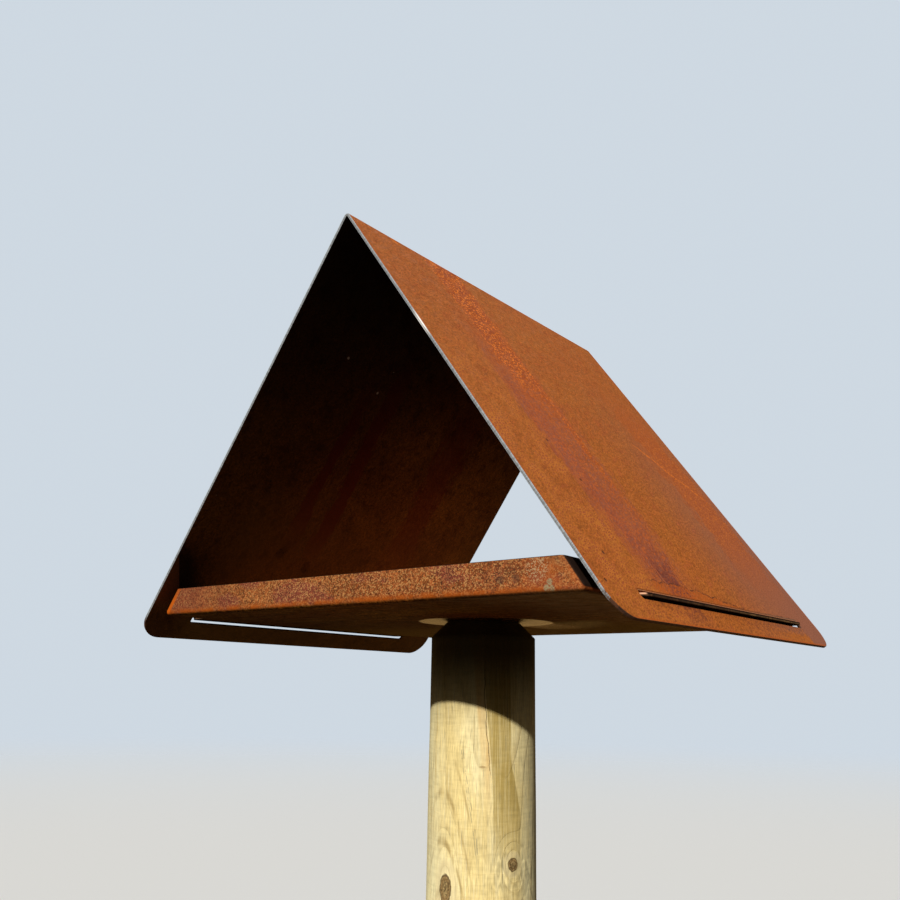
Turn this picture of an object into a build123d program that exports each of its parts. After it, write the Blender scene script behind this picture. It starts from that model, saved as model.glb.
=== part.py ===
from build123d import *
from math import cos, radians, sin, tan
import os

# A bird feeder house on a garden post. The roof is one steel sheet folded into a tent, open at
# both ends. The tray is a second sheet with its edges folded up: a lip at each end, and short
# sides at the corners that lean with the roof. The corners are welded shut. Between the sides
# two long tabs reach out through slots in the roof, so that the roof stands on the tabs. Screws
# hold the tray to the head of the post.
# The origin is the centre of the post's foot on the ground. The ridge runs along Y, and the
# front is towards -Y. Lengths are in millimetres and angles in degrees.

# Steel sheet of the roof and the tray
sheet = 2.0
bend_radius = 1.0  # inside of every fold

# Roof
roof_depth = 335.0  # front cut edge to rear cut edge
flank_length = 361.0  # sharp ridge line to lower edge, down the outer face
roof_slope = 54.4  # each flank above the horizontal
roof_corner_radius = 18.0  # lower corners of the flanks

# Tray
lip_inset = 6.5  # end of the roof to the outer face of a lip
lip_height = 20.0  # underside of the floor to the top of a lip
tray_side_gap = 10.5  # level gap between a side of the tray and the inside of the roof
relief_gap = 0.8  # slit between a side of the tray and the tab next to it

# Slots in the roof, and the tabs of the tray that reach through them
slot_inset = 40.5  # end of the roof to the end of a slot
slot_margin = 15.5  # sheet left between a slot and the lower edge of the flank
slot_width = 6.0  # down the flank
slot_corner_radius = 2.0
slot_end_gap = 2.5  # end of a slot to the side of its tab
tab_reach = 2.5  # how far a tab stands out of the roof, at its underside
tab_corner_radius = 6.0
tab_seat_gap = 0.2  # top of a tab to the edge of the slot that stands on it

# Post
post_height = 1200.0  # ground to the underside of the tray
post_radius = 40.0
post_chamfer = 12.0  # round the head

# Hexagon-headed coach screws and washers that hold the tray to the post
screw_spacing = 26.0  # both ways
screw_length = 50.0  # under the head
screw_radius = 3.0
screw_point_length = 8.0
screw_head_flats = 10.0  # across the flats
screw_head_height = 4.0
screw_head_bevel = 30.0  # slope of the turned corners of the head
washer_radius = 8.0
washer_thickness = 1.6
screw_hole_gap = 0.25  # round a screw in its washer and in the tray
pilot_bore_gap = 0.05  # round a screw in the post
pilot_bore_spare = 3.0  # bore left under the point of a screw

# Heights
tray_z = post_height
floor_z = tray_z + sheet
lip_z = tray_z + lip_height
slope = radians(roof_slope)
slot_top = flank_length - slot_margin - slot_width
ridge_z = floor_z + tab_seat_gap + slot_top * sin(slope) + sheet * cos(slope)

# Lengths that the slots, the tabs and the tray share
slot_length = roof_depth - 2 * slot_inset
tab_length = slot_length - 2 * slot_end_gap
tray_depth = roof_depth - 2 * lip_inset


def outer_half_width(z):
    """Distance from the middle plane to the outer face of a flank, at a height."""
    return (ridge_z - z) / tan(slope)


def inner_half_width(z):
    """Distance from the middle plane to the inner face of a flank, at a height."""
    return outer_half_width(z) - sheet / sin(slope)


def make_roof():
    foot_x = flank_length * cos(slope)
    foot_z = ridge_z - flank_length * sin(slope)
    corners = [(-foot_x, foot_z), (0, ridge_z), (foot_x, foot_z)]
    outer_line = FilletPolyline(*corners, radius=bend_radius + sheet)
    section = make_face(outer_line.offset_2d(sheet, side=Side.RIGHT))
    roof = extrude(Plane.XZ * section, amount=roof_depth / 2, both=True)
    for side in (-1, 1):
        down = (side * cos(slope), 0, -sin(slope))
        outwards = (side * sin(slope), 0, cos(slope))
        flank = Plane(origin=(0, 0, ridge_z), x_dir=down, z_dir=outwards)
        lower_corners = roof.edges().filter_by(Axis((0, 0, 0), outwards))
        roof = fillet(lower_corners, roof_corner_radius)
        slot_outline = RectangleRounded(slot_width, slot_length, slot_corner_radius)
        slot = extrude(slot_outline, amount=2 * sheet, both=True)
        roof -= flank * Pos(slot_top + slot_width / 2, 0, 0) * slot
    return roof


def tray_block(inset, edge_radius):
    """The tray as a solid block, inset from its outer faces, with sharp edges round its top."""
    foot_z = tray_z + inset
    side_gap = tray_side_gap + inset / sin(slope)
    foot_x = inner_half_width(foot_z) - side_gap
    top_x = inner_half_width(lip_z) - side_gap
    section = Polyline(
        (-foot_x, foot_z),
        (foot_x, foot_z),
        (top_x, lip_z),
        (-top_x, lip_z),
        close=True,
    )
    block = extrude(Plane.XZ * make_face(section), amount=tray_depth / 2 - inset, both=True)
    bottom_edges, corner_edges, top_edges = block.edges().group_by(Axis.Z)
    return fillet(bottom_edges + corner_edges, edge_radius)


def make_tray():
    tray = tray_block(0, bend_radius + sheet) - tray_block(sheet, bend_radius)

    foot_x = inner_half_width(tray_z) - tray_side_gap
    floor_x = foot_x - (bend_radius + sheet) / tan(slope / 2)
    room = Rectangle(2 * foot_x, tab_length + 2 * relief_gap)
    floor_edge = Rectangle(2 * floor_x, tab_length + 2 * relief_gap)
    tray -= Pos(0, 0, floor_z) * extrude(room, amount=lip_height)
    tray -= Pos(0, 0, tray_z) * extrude(room - floor_edge, amount=sheet)

    tab_x = outer_half_width(tray_z) + tab_reach
    tabs = extrude(RectangleRounded(2 * tab_x, tab_length, tab_corner_radius), amount=sheet)
    tray += Pos(0, 0, tray_z) * tabs
    for place in screw_places():
        tray -= place * Cylinder(screw_radius + screw_hole_gap, 2 * sheet)
    return tray


def make_post():
    post = Cylinder(post_radius, post_height, align=(Align.CENTER, Align.CENTER, Align.MIN))
    post = chamfer(post.edges().sort_by(Axis.Z)[-1], post_chamfer)
    bore_z = floor_z + washer_thickness - screw_length - pilot_bore_spare
    bore = Cylinder(
        screw_radius + pilot_bore_gap,
        post_height - bore_z,
        align=(Align.CENTER, Align.CENTER, Align.MAX),
    )
    for place in screw_places():
        post -= place * Pos(0, 0, post_height - floor_z) * bore
    return post


def screw_places():
    """Where the screws go through the tray, at the top of its floor."""
    grid = GridLocations(screw_spacing, screw_spacing, 2, 2)
    return [Pos(0, 0, floor_z) * place for place in grid]


def make_washer():
    return extrude(
        Circle(washer_radius) - Circle(screw_radius + screw_hole_gap),
        amount=washer_thickness,
    )


def make_screw():
    """A coach screw, with the underside of its head at height zero."""
    hexagon = RegularPolygon(screw_head_flats / 2, 6, major_radius=False)
    top_radius = screw_head_flats / 2
    bevel = Cone(
        top_radius + screw_head_height / tan(radians(screw_head_bevel)),
        top_radius,
        screw_head_height,
        align=(Align.CENTER, Align.CENTER, Align.MIN),
    )
    head = extrude(hexagon, amount=screw_head_height) & bevel
    shank_length = screw_length - screw_point_length
    shank = Cylinder(screw_radius, shank_length, align=(Align.CENTER, Align.CENTER, Align.MAX))
    point = Cone(0, screw_radius, screw_point_length, align=(Align.CENTER, Align.CENTER, Align.MAX))
    return head + shank + Pos(0, 0, -shank_length) * point


pieces = {"roof": make_roof(), "tray": make_tray(), "post": make_post()}
corner_names = ["front_left", "rear_left", "front_right", "rear_right"]
for name, place in zip(corner_names, screw_places()):
    pieces["washer_" + name] = place * make_washer()
    pieces["screw_" + name] = place * Pos(0, 0, washer_thickness) * make_screw()

os.makedirs("parts", exist_ok=True)
for name, piece in pieces.items():
    export_step(piece, "parts/" + name + ".step")
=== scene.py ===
import math

import bmesh
import bpy
import numpy as np
from mathutils import Matrix, Vector
from mathutils import noise as wander


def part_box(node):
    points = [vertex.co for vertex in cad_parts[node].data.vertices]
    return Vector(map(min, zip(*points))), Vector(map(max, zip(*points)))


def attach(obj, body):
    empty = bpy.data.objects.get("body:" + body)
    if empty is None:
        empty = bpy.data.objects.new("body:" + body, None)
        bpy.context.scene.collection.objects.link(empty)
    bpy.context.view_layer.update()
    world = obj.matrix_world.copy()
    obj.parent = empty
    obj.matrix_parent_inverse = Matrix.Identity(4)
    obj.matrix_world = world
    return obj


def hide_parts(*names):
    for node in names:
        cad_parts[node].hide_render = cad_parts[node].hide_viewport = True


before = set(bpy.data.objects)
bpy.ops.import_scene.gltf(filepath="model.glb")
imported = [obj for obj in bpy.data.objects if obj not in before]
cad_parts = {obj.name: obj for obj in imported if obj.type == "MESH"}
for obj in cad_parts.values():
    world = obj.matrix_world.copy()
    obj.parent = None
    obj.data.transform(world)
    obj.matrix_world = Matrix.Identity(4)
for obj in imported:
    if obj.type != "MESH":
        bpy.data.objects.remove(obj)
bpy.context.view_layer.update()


# The roof: one sheet of weathering steel, 2 mm thick. It was cut flat, with round lower corners
# and a slot in each flank, and then folded once along the ridge. It stands on the tray's tabs,
# and nothing else holds it. Lengths are in metres.

sheet = 0.002
bend_outer_radius = 0.003
cut_rounding = 0.0003  # burr rubbed off the cut edges

roof_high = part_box("roof")[1]
roof_slope = math.radians(54.4)
roof_half_depth = roof_high.y
ridge_z = roof_high.z + bend_outer_radius * (1 / math.cos(roof_slope) - 1)
flank_length = roof_high.x / math.cos(roof_slope)
roof_corner_radius = 0.018

slot_inset = 0.0405  # end of the roof to the end of a slot
slot_margin = 0.0155  # sheet left below a slot
slot_width = 0.006
slot_corner_radius = 0.002
slot_half_length = roof_half_depth - slot_inset
slot_top = flank_length - slot_margin - slot_width


def round_rectangle(width, height, radius, centre=(0, 0), steps=8):
    """Points round a rectangle with rounded corners, anticlockwise."""
    points = []
    for quarter, (side, end) in enumerate([(1, 1), (-1, 1), (-1, -1), (1, -1)]):
        corner_x = centre[0] + side * (width / 2 - radius)
        corner_y = centre[1] + end * (height / 2 - radius)
        for step in range(steps + 1):
            angle = math.pi / 2 * (quarter + step / steps)
            points.append((corner_x + radius * math.cos(angle), corner_y + radius * math.sin(angle)))
    return points


def cut_blank(outlines, scores):
    """A flat face cut to an outline and its holes, with a row of edges at each score line so
    that it can be folded there. A score is a direction and a distance."""
    blank = bmesh.new()
    for outline in outlines:
        corners = [blank.verts.new((x, y, 0)) for x, y in outline]
        for start, end in zip(corners, corners[1:] + corners[:1]):
            blank.edges.new((start, end))
    bmesh.ops.triangle_fill(blank, use_beauty=True, edges=blank.edges[:], normal=(0, 0, 1))
    for direction, distance in scores:
        whole = blank.verts[:] + blank.edges[:] + blank.faces[:]
        place = Vector(direction) * distance
        bmesh.ops.bisect_plane(blank, geom=whole, dist=1e-7, plane_co=place, plane_no=direction)
    return blank


def thicken(blank):
    """Gives the flat face the thickness of the sheet, downwards, and rubs its rims round."""
    under = bmesh.ops.extrude_face_region(blank, geom=blank.faces[:])
    sunk = [part for part in under["geom"] if isinstance(part, bmesh.types.BMVert)]
    bmesh.ops.translate(blank, verts=sunk, vec=(0, 0, -sheet))
    bmesh.ops.recalc_face_normals(blank, faces=blank.faces[:])
    blank.normal_update()
    rims = [
        edge for edge in blank.edges
        if len(edge.link_faces) == 2
        and abs(abs(edge.link_faces[0].normal.z) - abs(edge.link_faces[1].normal.z)) > 0.5
    ]
    bmesh.ops.bevel(blank, geom=rims, offset=cut_rounding, segments=2, profile=0.5, affect="EDGES")
    blank.normal_update()


def place_object(name, data):
    """Puts a mesh, a lamp or a camera in the scene."""
    placed = bpy.data.objects.new(name, data)
    bpy.context.collection.objects.link(placed)
    return placed


def sheet_piece(name, blank, shape, materials):
    """The folded piece, with each point's place on the flat blank kept for the finishes.
    The materials are those of the outer face, the inner face and the cut edges."""
    mesh = bpy.data.meshes.new(name)
    thicken(blank)
    for face in blank.faces:
        face.smooth = True
        face.material_index = 2 if abs(face.normal.z) < 0.99 else int(face.normal.z < 0)
    blank.to_mesh(mesh)
    blank.free()
    flat = np.empty(len(mesh.vertices) * 3, np.float32)
    mesh.vertices.foreach_get("co", flat)
    mesh.attributes.new("blank", "FLOAT_VECTOR", "POINT").data.foreach_set("vector", flat)
    folded = shape(*flat.reshape(-1, 3).astype(float).T)
    mesh.vertices.foreach_set("co", np.stack(folded, 1).astype(np.float32).ravel())
    for material in materials:
        mesh.materials.append(material)
    mesh.update()
    piece = place_object(name, mesh)
    shading = piece.modifiers.new("flat faces stay flat", "WEIGHTED_NORMAL")
    shading.weight = 100
    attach(piece, "root")
    return piece


def plug(node, inputs):
    """Sets or links the inputs of a node, given as numbers, colours, places or sockets."""
    for name, value in inputs.items():
        socket = node.inputs[name]
        if isinstance(value, bpy.types.NodeSocket):
            tree.links.new(value, socket)
        else:
            socket.default_value = (*value, 1.0) if socket.type == "RGBA" else value


def wire(kind, inputs, output=0, **settings):
    """Adds a node to the tree that is being made, and gives back one of its outputs."""
    node = tree.nodes.new("ShaderNode" + kind)
    for setting, value in settings.items():
        setattr(node, setting, value)
    plug(node, inputs)
    return node.outputs[output]


def maths(operation, *values):
    return wire("Math", dict(enumerate(values)), operation=operation)


def chain(operation):
    """A helper that runs an operation through any number of values, from the first on."""
    def run(*values):
        result = values[0]
        for value in values[1:]:
            result = maths(operation, result, value)
        return result
    return run


times = chain("MULTIPLY")
plus = chain("ADD")
minus = chain("SUBTRACT")
most = chain("MAXIMUM")


def size_of(value):
    return maths("ABSOLUTE", value)


def scaled(value, factor, start):
    """The value times the factor, from a start."""
    return maths("MULTIPLY_ADD", value, factor, start)


def ramp(value, low, high, first=0.0, last=1.0):
    """Runs smoothly from the first to the last as the value goes from low to high."""
    reach = {"Value": value, "From Min": low, "From Max": high, "To Min": first, "To Max": last}
    return wire("MapRange", reach, interpolation_type="SMOOTHSTEP")


def band(value, low, high, blur):
    """One between low and high, and nothing outside them."""
    return times(ramp(value, low - blur, low + blur), ramp(value, high + blur, high - blur))


def axes(at):
    """The three coordinates of a place."""
    return wire("SeparateXYZ", {"Vector": at}).node.outputs[:]


def mottle(at, scale, detail=2.0, roughness=0.5, stretch=(1, 1, 1), shift=(0, 0, 0)):
    """A cloudy value about one half. A stretch under one draws the clouds out that way."""
    moved = wire("Mapping", {"Vector": at, "Location": shift, "Scale": stretch})
    cloud = {"Vector": moved, "Scale": scale, "Detail": detail, "Roughness": roughness}
    return wire("TexNoise", cloud)


def grains(at, scale, stretch=(1, 1, 1), shift=(0, 0, 0)):
    """A random value for each small grain."""
    moved = wire("Mapping", {"Vector": at, "Location": shift, "Scale": stretch})
    cells = wire("TexVoronoi", {"Vector": moved, "Scale": scale}, output="Color")
    return wire("SeparateColor", {"Color": cells})


def vectors(operation, *values):
    return wire("VectorMath", dict(enumerate(values)), operation=operation)


def length_of(vector):
    return wire("VectorMath", {0: vector}, output="Value", operation="LENGTH")


def paint(under, over, *masks):
    """Lays one colour over another where every mask is one."""
    return wire("Mix", {0: times(*masks), 6: under, 7: over}, output=2, data_type="RGBA")


def shade(tone, value, *spans):
    """Darkens and lightens a colour by a value about one half. The product of the spans is
    how far it goes from end to end."""
    factor = scaled(minus(value, 0.5), times(*spans), 1.0)
    return wire("VectorMath", {0: tone, "Scale": factor}, operation="SCALE")


def new_group(name, inputs, outputs):
    """A shader node group, the sockets of its inputs, and the node of its outputs. Both are
    given as names with kinds of socket."""
    group = bpy.data.node_groups.new(name, "ShaderNodeTree")
    for way, sockets in (("INPUT", inputs), ("OUTPUT", outputs)):
        for socket, kind in sockets.items():
            group.interface.new_socket(socket, in_out=way, socket_type="NodeSocket" + kind)
    given = group.nodes.new("NodeGroupInput").outputs
    return group, given, group.nodes.new("NodeGroupOutput")


def use_group(group, *values):
    """Places a group in the tree, with a value for each of its inputs in their order, and gives
    back all of its outputs."""
    node = tree.nodes.new("ShaderNodeGroup")
    node.node_tree = group
    plug(node, dict(enumerate(values)))
    return node.outputs


# Rust is never one colour: broad clouds of a lighter tone, smaller blotches of a deeper one, and
# scale that breaks up into grains of one to three millimetres, each a little lighter or darker.
rust_skin, given, output = new_group(
    "rust skin",
    {"At": "Vector", "Base": "Color", "Light": "Color", "Deep": "Color", "Grain": "Float"},
    {"Color": "Color", "Height": "Float", "Roughness": "Float"},
)
tree = rust_skin
at, grain = given["At"], given["Grain"]
cloud = mottle(at, 16.0, 3.0, 0.55)
blotch = mottle(at, 95.0, 3.0, 0.6)
dust = mottle(at, 700.0, 2.0, 0.6)
coarse = grains(at, 460.0)
fine = grains(at, 850.0, shift=(7, 3, 1))
tone = paint(given["Base"], given["Light"], ramp(cloud, 0.4, 0.68), 0.7)
tone = paint(tone, given["Deep"], ramp(blotch, 0.5, 0.72), 0.5)
tone = shade(tone, coarse, grain)
tone = shade(tone, fine, grain, 1.6)
tone = shade(tone, dust, grain, 1.6)
tone = paint(tone, given["Deep"], ramp(fine, 0.88, 0.95), grain)
roughness = ramp(blotch, 0.3, 0.7, 0.66, 0.88)
plug(output, {"Color": tone, "Height": scaled(coarse, 0.35, dust), "Roughness": roughness})

# Rain that runs down a sheet draws a ragged streak, made of fine threads that follow the fall.
# It lies on one flank, and its start and its end are distances down from the ridge.
rain_streak, given, output = new_group(
    "rain streak",
    {"At": "Vector", "Side": "Float", "Centre": "Float", "Half Width": "Float",
     "Start": "Float", "End": "Float", "Fade": "Float"},
    {"Mask": "Float", "Threads": "Float"},
)
tree = rain_streak
at, start, end, fade = given["At"], given["Start"], given["End"], given["Fade"]
x, across = axes(at)[:2]
drift = mottle(at, 26.0, 2.0, 0.5, (0.45, 1, 1))
threads = mottle(at, 330.0, 3.0, 0.6, (0.13, 1, 1))
dashes = grains(at, 560.0, (0.22, 1, 1))
offset = plus(minus(across, given["Centre"]), times(minus(drift, 0.5), 0.022))
offset = maths("DIVIDE", size_of(offset), given["Half Width"])
ragged = plus(scaled(threads, 0.9, -0.45), scaled(dashes, 0.5, -0.25))
inside = ramp(plus(offset, ragged), 1.1, 0.7)
fall = times(x, given["Side"])
opening = ramp(fall, start, plus(start, fade))
closing = ramp(fall, end, minus(end, fade))
plug(output, {"Mask": times(inside, times(opening, closing)), "Threads": dashes})

# Pits: small dark holes in the rust, here and there, with a paler rim.
scattered_pits, given, output = new_group(
    "scattered pits",
    {"At": "Vector", "Spacing": "Float", "Size": "Float"},
    {"Pit": "Float", "Rim": "Float"},
)
tree = scattered_pits
per_metre = maths("DIVIDE", 1.0, given["Spacing"])
cells = wire("TexVoronoi", {"Vector": given["At"], "Scale": per_metre}).node.outputs
chance = wire("SeparateColor", {"Color": cells["Color"]})
size = times(ramp(chance, 0.45, 1.0), given["Size"])
away = times(cells["Distance"], given["Spacing"])
share = maths("DIVIDE", away, plus(size, 1e-6))
plug(output, {"Pit": ramp(share, 1.0, 0.6), "Rim": band(share, 1.1, 1.7, 0.2)})


def new_material(name, settings):
    """A material, its tree and its shader, with some of the shader's own sockets set."""
    material = bpy.data.materials.new(name)
    material.use_nodes = True
    shader = material.node_tree.nodes["Principled BSDF"]
    plug(shader, settings)
    return material, material.node_tree, shader


def finish(tone, roughness, height, depth):
    """Links a colour, a roughness and a relief of a given depth to the shader."""
    normal = wire("Bump", {"Height": height, "Distance": depth, "Strength": 1.0})
    plug(shader, {"Base Color": tone, "Roughness": roughness, "Normal": normal})


def place_on_blank():
    """Where a point lay on the flat sheet: down from the ridge line, along it, and how deep."""
    return wire("Attribute", {}, output="Vector", attribute_name="blank")


def place_in_object():
    return wire("TexCoord", {}, output="Object")


def spots(at, places, radius):
    """One inside small round spots at given places."""
    total = 0.0
    for spot in places:
        apart = wire("VectorMath", {0: at, 1: spot}, output="Value", operation="DISTANCE")
        total = most(ramp(apart, radius * 1.2, radius * 0.6), total)
    return total


# Colours of the roof's rust
rust_brown = (0.455, 0.126, 0.022)
rust_yellow = (0.465, 0.140, 0.022)
rust_orange = (0.52, 0.112, 0.016)
rust_red = (0.42, 0.098, 0.034)
rust_purple = (0.36, 0.082, 0.045)
rust_wine = (0.17, 0.042, 0.034)
rust_rose = (0.34, 0.132, 0.082)
rust_dark = (0.085, 0.032, 0.020)

# The outer face. Its clouds and grains are drawn out at a slant across the sheet.
roof_outside, tree, shader = new_material("roof outer rust", {"Specular IOR Level": 0.05})
at = place_on_blank()
x, across = axes(at)[:2]
down = size_of(x)
slant = (0, 0, math.radians(32))
slanted = {"Vector": at, "Rotation": slant, "Scale": (0.65, 1.4, 1)}
slanted = wire("Mapping", slanted, vector_type="TEXTURE")
skin = use_group(rust_skin, slanted, rust_brown, rust_yellow, rust_red, 0.32)
tone = skin["Color"]
relief = skin["Height"]

# Yellower and finely honeycombed towards the front edge and low down, and pinker and greyer
# towards the rear edge.
comb = wire("TexVoronoi", {"Vector": slanted, "Scale": 380.0}, feature="DISTANCE_TO_EDGE")
comb = ramp(comb, 0.20, 0.06)
patchy = ramp(mottle(at, 40.0, 4.0, 0.6), 0.38, 0.62)
yellow = times(ramp(across, 0.02, -0.13), ramp(down, 0.08, 0.22), patchy)
tone = paint(tone, (0.64, 0.205, 0.035), yellow, comb, 0.8)
tone = paint(tone, rust_red, yellow, ramp(comb, 0.6, 0.0), 0.8)
tone = paint(tone, rust_rose, times(ramp(across, -0.02, 0.15), ramp(down, 0.05, 0.30)), 0.9)

# Streaks, each as its side, centre, half width, start, end and fade, then its colour and
# strength. The right flank's first six are one run: orange grains above, purple below.
streaks = [
    (1, -0.088, 0.016, 0.05, 0.40, 0.14, rust_red, 0.45),
    (1, -0.068, 0.035, 0.06, 0.37, 0.14, rust_purple, 0.45),
    (1, -0.070, 0.022, 0.23, 0.37, 0.09, rust_purple, 0.65),
    (1, -0.067, 0.016, 0.29, 0.37, 0.04, rust_wine, 0.8),
    (1, -0.0635, 0.024, -0.11, 0.21, 0.09, rust_orange, 0.85),
    (1, -0.044, 0.005, 0.05, 0.29, 0.08, rust_orange, 0.65),
    (1, 0.120, 0.036, 0.05, 0.36, 0.12, rust_orange, 0.5),
    (-1, 0.055, 0.030, -0.01, 0.22, 0.12, rust_orange, 0.7),
    (-1, 0.050, 0.040, 0.10, 0.37, 0.12, rust_purple, 0.6),
    (-1, -0.095, 0.022, 0.06, 0.38, 0.10, rust_red, 0.6),
    (-1, -0.030, 0.008, 0.10, 0.30, 0.08, rust_orange, 0.5),
]
grainy = 0.0
greyed = 0.0
for *course, tint, strength in streaks:
    run = use_group(rain_streak, at, *course)
    mask = times(run["Mask"], strength)
    tone = paint(tone, tint, mask)
    tone = shade(tone, run["Threads"], mask, 0.24)
    if tint == rust_orange:
        grainy = most(times(mask, mask, 1.3), grainy)
    if tint == rust_purple:
        greyed = most(mask, greyed)

# In the orange the scale has burst into bright and dark grains. In the purple it has greyed.
fleck = grains(slanted, 680.0, shift=(2, 9, 4))
tone = paint(tone, (0.47, 0.098, 0.018), grainy, 0.7)
bright = times(grainy, ramp(fleck, 0.66, 0.84))
tone = paint(tone, (0.86, 0.24, 0.030), bright)
dark = times(grainy, ramp(fleck, 0.34, 0.14))
tone = paint(tone, (0.27, 0.058, 0.022), dark, 0.7)
relief = scaled(bright, 0.5, relief)
grey_fleck = grains(slanted, 560.0, shift=(5, 1, 8))
tone = paint(tone, (0.46, 0.16, 0.10), greyed, ramp(grey_fleck, 0.70, 0.86))
tone = paint(tone, rust_orange, greyed, ramp(grey_fleck, 0.28, 0.12))
tone = shade(tone, grey_fleck, greyed, -0.9)

# On the right flank a drip of water once dried in an orange line that runs down at a slant.
drip_top, drip_end = 0.169, 0.212
drip_lean = 1.73  # how far it runs along the ridge for each length down
drip_sway = 0.016
off_drip = scaled(minus(x, drip_top), -drip_lean, across)
sway = scaled(mottle(at, 60.0, 3.0, 0.6), drip_sway, -0.079)
off_drip = size_of(plus(off_drip, sway))
drip = times(ramp(off_drip, 0.0045, 0.0015), band(x, drip_top - 0.001, drip_end, 0.004))
tone = paint(tone, (0.80, 0.20, 0.028), times(drip, ramp(fleck, 0.1, 0.5)), 0.85)

# Water held at the slot ran down from it as orange, under a dark wavy tide line.
above_slot = minus(slot_top, down)
waves = mottle(at, 120.0, 4.0, 0.65, (0.3, 1, 1))
tide_rise = ramp(across, -0.065, 0.045, 0.0105, 0.0010)
tide_wave = scaled(waves, 0.009, -0.0045)
above_tide = minus(above_slot, tide_rise, tide_wave)
slot_span = band(across, -0.100, slot_half_length, 0.006)
below_tide = times(ramp(above_tide, 0.0006, -0.0006), ramp(above_slot, -0.001, 0.0))
tone = paint(tone, rust_orange, below_tide, slot_span, fleck)
tide = times(band(above_tide, -0.0006, 0.0006, 0.0005), slot_span)
tone = paint(tone, rust_dark, tide, ramp(fleck, 0.0, 0.8), 0.85)

# The cutting beam burnt the slot's upper rim, browner in front and greyer behind. Below the slot
# the sheet is lighter, and brown at the rear.
whole_slot = band(across, -slot_half_length, slot_half_length, 0.002)
burnt = paint((0.22, 0.060, 0.012), (0.20, 0.110, 0.066), ramp(across, 0.0, 0.12))
burnt_rim = times(band(above_slot, -0.0005, 0.0014, 0.0005), whole_slot)
tone = paint(tone, burnt, burnt_rim, 0.9)
under_slot = times(band(above_slot, -0.030, -slot_width, 0.002), whole_slot)
tone = paint(tone, (0.60, 0.17, 0.03), under_slot, ramp(fleck, 0.5, 0.9), 0.6)
low_rear = times(under_slot, ramp(across, 0.03, 0.10), ramp(above_slot, -0.010, -0.016))
tone = paint(tone, (0.56, 0.155, 0.018), low_rear, 0.7)
tone = paint(tone, rust_dark, under_slot, ramp(fleck, 0.45, 0.1), 0.3)

# Four deep pits, a smudge and two bursts of bright scale have places of their own. A few more
# pits lie anywhere.
pit_places = [(0.216, -0.102, 0), (0.337, -0.158, 0), (0.249, -0.094, 0), (0.315, -0.137, 0)]
pit = spots(at, pit_places, 0.0013)
few = use_group(scattered_pits, at, 0.040, 0.0010)
pit = most(pit, times(few["Pit"], 0.7))
tone = paint(tone, rust_dark, pit, 0.85)
tone = paint(tone, rust_orange, few["Rim"], 0.4)
tone = paint(tone, rust_dark, spots(at, [(0.345, -0.106, 0)], 0.004), 0.4)
bursts = spots(at, [(0.007, -0.121, 0), (0.008, -0.077, 0)], 0.004)
tone = paint(tone, (0.80, 0.22, 0.035), bursts, 0.6)
relief = scaled(pit, -1.5, relief)

# The fold and the sheet's edges rust brightest.
fold_wear = times(ramp(down, 0.007, 0.002), ramp(fleck, 0.2, 0.7))
end_wear = ramp(size_of(across), roof_half_depth - 0.003, roof_half_depth)
low_wear = ramp(down, flank_length - 0.0025, flank_length - 0.0005)
wear = most(fold_wear, end_wear, low_wear)
tone = paint(tone, rust_orange, wear, 0.7)
finish(tone, skin["Roughness"], relief, 0.0002)

# Under the roof the sheet is dark, partly its own dark skin and partly painted shade, with
# wine-red runs. It is painted browner low down and towards the back and darker under the
# ridge and towards the front, as painted light and shade.
roof_inside, tree, shader = new_material("roof inner rust", {"Specular IOR Level": 0.08})
at = place_on_blank()
x, across = axes(at)[:2]
down = size_of(x)
skin = use_group(
    rust_skin, at, (0.165, 0.058, 0.010), (0.260, 0.098, 0.014), (0.050, 0.014, 0.005), 0.4,
)
tone = skin["Color"]
wine_red = (0.15, 0.018, 0.008)
inner_streaks = [
    (-1, -0.041, 0.009, 0.06, 0.29, 0.05, 0.85),
    (-1, -0.070, 0.007, 0.10, 0.28, 0.05, 0.85),
    (-1, 0.06, 0.02, 0.05, 0.3, 0.08, 0.5),
    (1, 0.02, 0.016, 0.04, 0.28, 0.07, 0.7),
    (1, -0.08, 0.008, 0.1, 0.3, 0.06, 0.6),
]
for *course, strength in inner_streaks:
    run = use_group(rain_streak, at, *course)
    tone = paint(tone, wine_red, run["Mask"], strength)
# Painted shade under the ridge and at the front, painted light low down and at the back.
tone = shade(tone, ramp(down, 0.02, 0.33), 1.8)
tone = shade(tone, ramp(across, -0.165, 0.12), 1.2)

# The foot of the flanks is painted nearly black, as painted shade beside the tray, and the lower
# front of the left flank is painted a lighter brown. The end of the front lip keeps a deep
# painted shadow behind it, along a line that leans back on its way down, and in front of that
# line the flank is painted paler, as painted light.
tone = paint(tone, (0.035, 0.012, 0.005), ramp(down, 0.318, 0.340, 0.0, 0.6))
lighter_low_left = times(ramp(x, -0.19, -0.27), ramp(across, -0.15, -0.11))
tone = paint(tone, (0.26, 0.13, 0.03), lighter_low_left, 0.4)
shadow_front, shadow_back, blur = -0.3101, -0.284, 0.0006
leaning = scaled(down, -0.5, across)
shadow = ramp(leaning, shadow_front - blur, shadow_front + blur)
shadow = times(shadow, ramp(leaning, shadow_back, -0.304), band(down, 0.280, 0.330, 0.012), 0.9)
tone = paint(tone, (0.006, 0.003, 0.002), shadow)
# Painted light in front of the lip's shadow line.
lit = times(ramp(leaning, shadow_front + blur, shadow_front - blur), band(down, 0.290, 0.332, 0.012))
tone = paint(tone, (0.17, 0.060, 0.020), lit, 0.85)

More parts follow.
